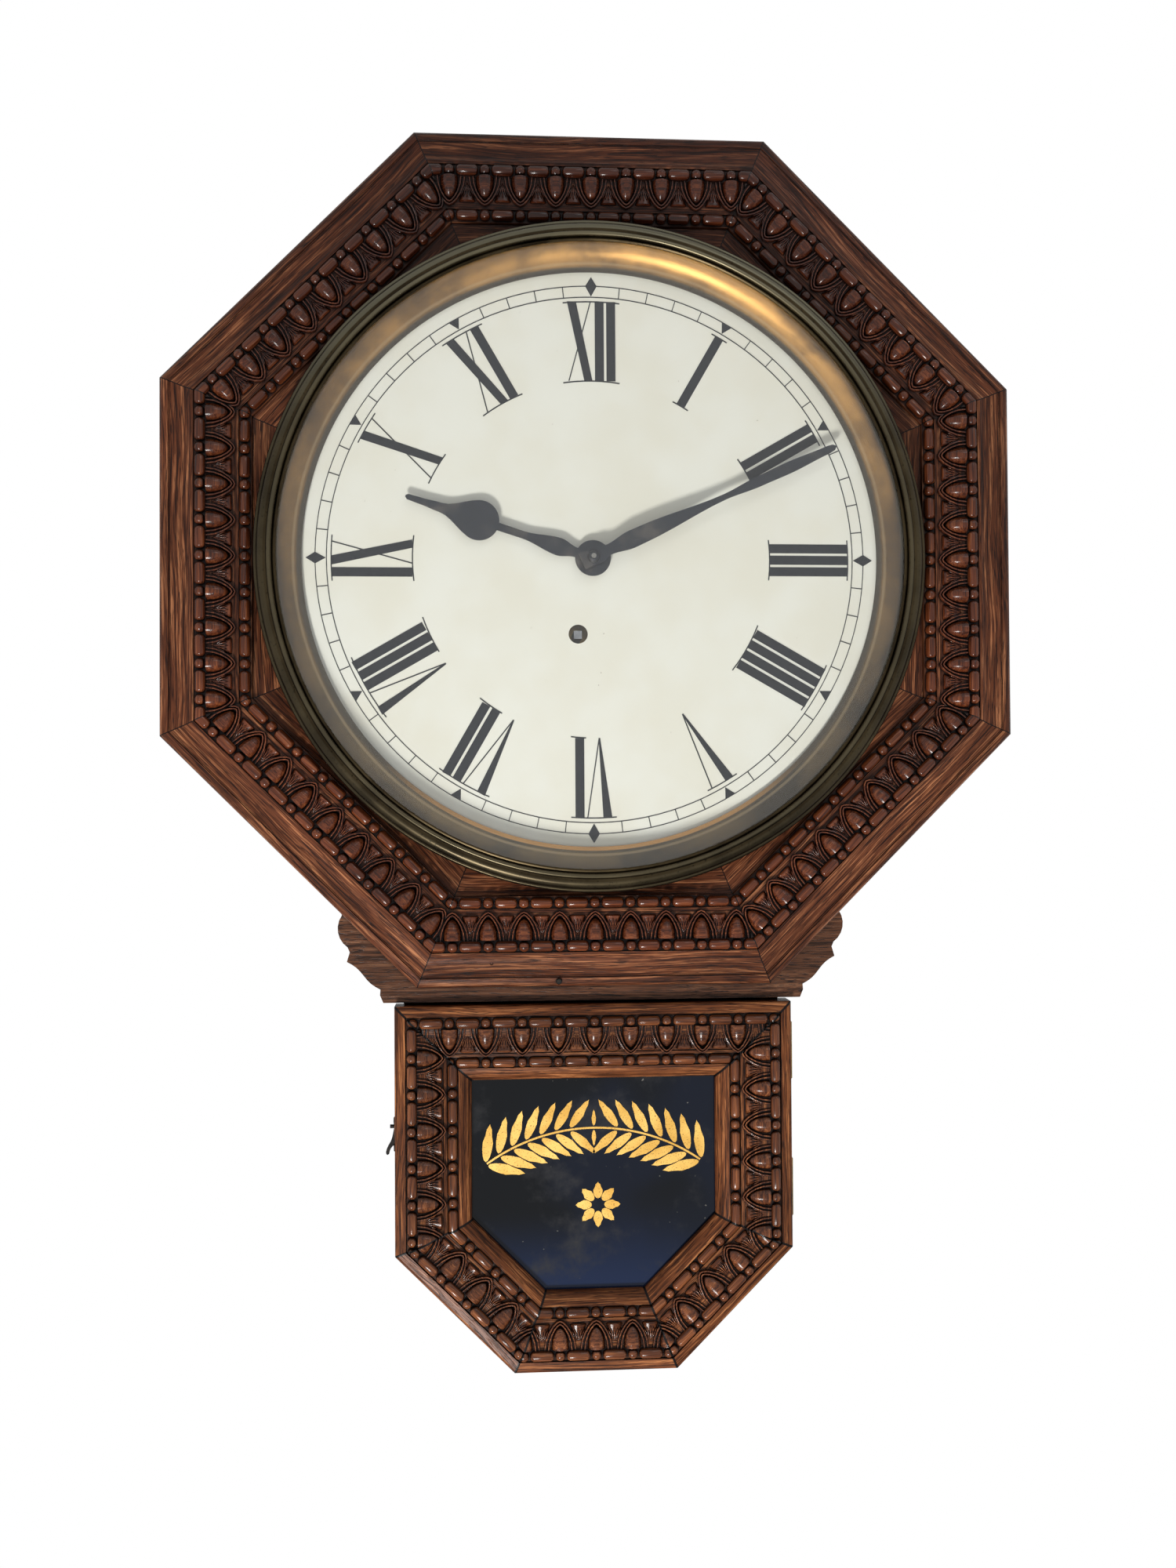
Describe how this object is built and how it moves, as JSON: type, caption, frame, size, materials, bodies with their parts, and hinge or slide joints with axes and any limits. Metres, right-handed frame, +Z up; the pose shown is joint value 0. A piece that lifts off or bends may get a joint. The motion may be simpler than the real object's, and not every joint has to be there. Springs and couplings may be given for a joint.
{
  "type": "regulator clock",
  "caption": "Drop-octagon wall clock: moulded oak head with hinged brass bezel and round dial, glazed lower door, spring-driven movement and short pendulum.",
  "frame": {"origin": "where the axis of the hand arbor meets the wall: the centre of the dial, on the backboard's back face", "axes": "+Z up, +X to the right as seen from the front, +Y into the wall, so the clock faces -Y"},
  "size_m": [0.444, 0.119, 0.645],
  "materials": {
    "case_oak": "satin varnish over stained oak",
    "head_oak": "semi-gloss shellac over dark stained pressed oak",
    "door_oak": "semi-gloss shellac over stained pressed oak",
    "steel": "drawn",
    "spring_steel": "tempered blue-grey",
    "brass": "aged",
    "bezel_brass": "dark olive tarnish, rubbed on the crown",
    "sight_brass": "aged golden lacquer with dark edges",
    "hinge_brass": "aged",
    "plate_brass": "lacquered sheet",
    "wheel_brass": "stamped and lacquered",
    "bob_brass": "polished, aged",
    "black_iron": "worn black japan",
    "blued_steel": "blue-black, worn to grey on the crowns",
    "clear_glass": "clear, polished",
    "tablet_glass": "reverse-painted blue-black",
    "dial_paper": "matt off-white paper on zinc",
    "dial_ink": "matt printed ink"
  },
  "bodies": {
    "case": {"backboard": "case_oak", "case_top": "case_oak", "case_sides": "case_oak", "shoulders": "case_oak", "drop_sides": "case_oak", "drop_slants": "case_oak", "drop_bottom": "case_oak", "apron": "case_oak", "head_stave_bottom": "head_oak", "head_stave_lower_right": "head_oak", "head_stave_right": "head_oak", "head_stave_upper_right": "head_oak", "head_stave_top": "head_oak", "head_stave_upper_left": "head_oak", "head_stave_left": "head_oak", "head_stave_lower_left": "head_oak", "hanger_plate": "steel", "case_screws": "brass", "bezel_hinge_plate": "bezel_brass", "door_hinge_plates": "hinge_brass", "hook_pivot": "black_iron", "dial_pan": "dial_paper", "dial_print": "dial_ink", "front_plate": "plate_brass", "back_plate": "plate_brass", "pillars": "plate_brass", "suspension_cock": "plate_brass", "mainspring": "spring_steel"},
    "door": {"door_rail_bottom": "door_oak", "door_slant_right": "door_oak", "door_stile_right": "door_oak", "door_rail_top": "door_oak", "door_stile_left": "door_oak", "door_slant_left": "door_oak", "tablet_glass": "tablet_glass", "glass_slips": "case_oak", "door_hinge_leaves": "hinge_brass", "hook_pin": "black_iron"},
    "hook": {"door_hook": "black_iron"},
    "bezel": {"bezel_ring": "bezel_brass", "sight_ring": "sight_brass", "bezel_glass": "clear_glass", "bezel_hinge_leaf": "bezel_brass"},
    "minute_arbor": {"center_wheel": "wheel_brass", "cannon_pinion": "wheel_brass", "minute_hand": "blued_steel", "hand_nut": "blued_steel"},
    "hour": {"hour_wheel": "wheel_brass", "hour_hand": "blued_steel"},
    "minute_wheel": {"minute_wheel": "wheel_brass"},
    "main_wheel": {"main_wheel": "wheel_brass"},
    "winding_arbor": {"winding_arbor": "steel"},
    "click": {"click": "steel"},
    "third_wheel": {"third_wheel": "wheel_brass"},
    "escape_wheel": {"escape_wheel": "wheel_brass"},
    "verge": {"verge": "steel"},
    "pendulum": {"pendulum_rod": "steel", "suspension_spring": "spring_steel"},
    "bob": {"pendulum_bob": "bob_brass"},
    "rating_nut": {"rating_nut": "bob_brass"}
  },
  "joints": [
    {"name": "minute_spin", "type": "hinge", "parent": "case", "child": "minute_arbor", "pos_m": [0, -0.073, 0], "axis": [0, 1, 0], "continuous": true},
    {"name": "minute_wheel_spin", "type": "hinge", "parent": "case", "child": "minute_wheel", "pos_m": [0.01039, -0.076, -0.006], "axis": [0, 1, 0], "continuous": true},
    {"name": "hour_spin", "type": "hinge", "parent": "case", "child": "hour", "pos_m": [0, -0.08, 0], "axis": [0, 1, 0], "continuous": true},
    {"name": "main_spin", "type": "hinge", "parent": "case", "child": "main_wheel", "pos_m": [-0.00769, -0.044, -0.03919], "axis": [0, 1, 0], "continuous": true},
    {"name": "third_spin", "type": "hinge", "parent": "case", "child": "third_wheel", "pos_m": [0.01905, -0.056, 0.011], "axis": [0, 1, 0], "continuous": true},
    {"name": "escape_spin", "type": "hinge", "parent": "case", "child": "escape_wheel", "pos_m": [0, -0.056, 0.022], "axis": [0, 1, 0], "continuous": true},
    {"name": "winding_spin", "type": "hinge", "parent": "main_wheel", "child": "winding_arbor", "pos_m": [-0.00769, -0.06, -0.03919], "axis": [0, 1, 0], "continuous": true},
    {"name": "click_lift", "type": "hinge", "parent": "main_wheel", "child": "click", "pos_m": [0.0048, -0.046, -0.02487], "axis": [0, -1, 0], "range_deg": [0, 10], "stiffness_Nm_per_rad": 0.0004, "springref_deg": -28.65},
    {"name": "pendulum_swing", "type": "hinge", "parent": "case", "child": "pendulum", "pos_m": [0, -0.026, 0.046], "axis": [0, 1, 0], "range_deg": [-4, 4]},
    {"name": "verge_swing", "type": "hinge", "parent": "case", "child": "verge", "pos_m": [0, -0.05, 0.046], "axis": [0, 1, 0], "range_deg": [-4, 4]},
    {"name": "bob_slide", "type": "slide", "parent": "pendulum", "child": "bob", "axis": [0, 0, 1], "range_m": [-0.004, 0.004]},
    {"name": "rating_nut_spin", "type": "hinge", "parent": "bob", "child": "rating_nut", "pos_m": [0, -0.026, -0.373], "axis": [0, 0, 1], "range_deg": [-1802, 1802]},
    {"name": "bezel_hinge", "type": "hinge", "parent": "case", "child": "bezel", "pos_m": [0.1688, -0.11, 0], "axis": [0, 0, 1], "range_deg": [0, 95]},
    {"name": "door_hinge", "type": "hinge", "parent": "case", "child": "door", "pos_m": [0.1059, -0.0803, -0.297], "axis": [0, 0, 1], "range_deg": [0, 110]},
    {"name": "hook_swing", "type": "hinge", "parent": "case", "child": "hook", "pos_m": [-0.1055, -0.074, -0.2955], "axis": [-1, 0, 0], "range_deg": [0, 72]}
  ],
  "couplings": [
    {"joint": "minute_wheel_spin", "follows": "minute_spin", "ratio": -0.33333},
    {"joint": "hour_spin", "follows": "minute_spin", "ratio": 0.083333},
    {"joint": "main_spin", "follows": "minute_spin", "ratio": -0.083333},
    {"joint": "third_spin", "follows": "minute_spin", "ratio": -9},
    {"joint": "escape_spin", "follows": "minute_spin", "ratio": 81},
    {"joint": "verge_swing", "follows": "pendulum_swing", "ratio": 1},
    {"joint": "rating_nut_spin", "follows": "bob_slide", "rad_per_m": 7854}
  ]
}
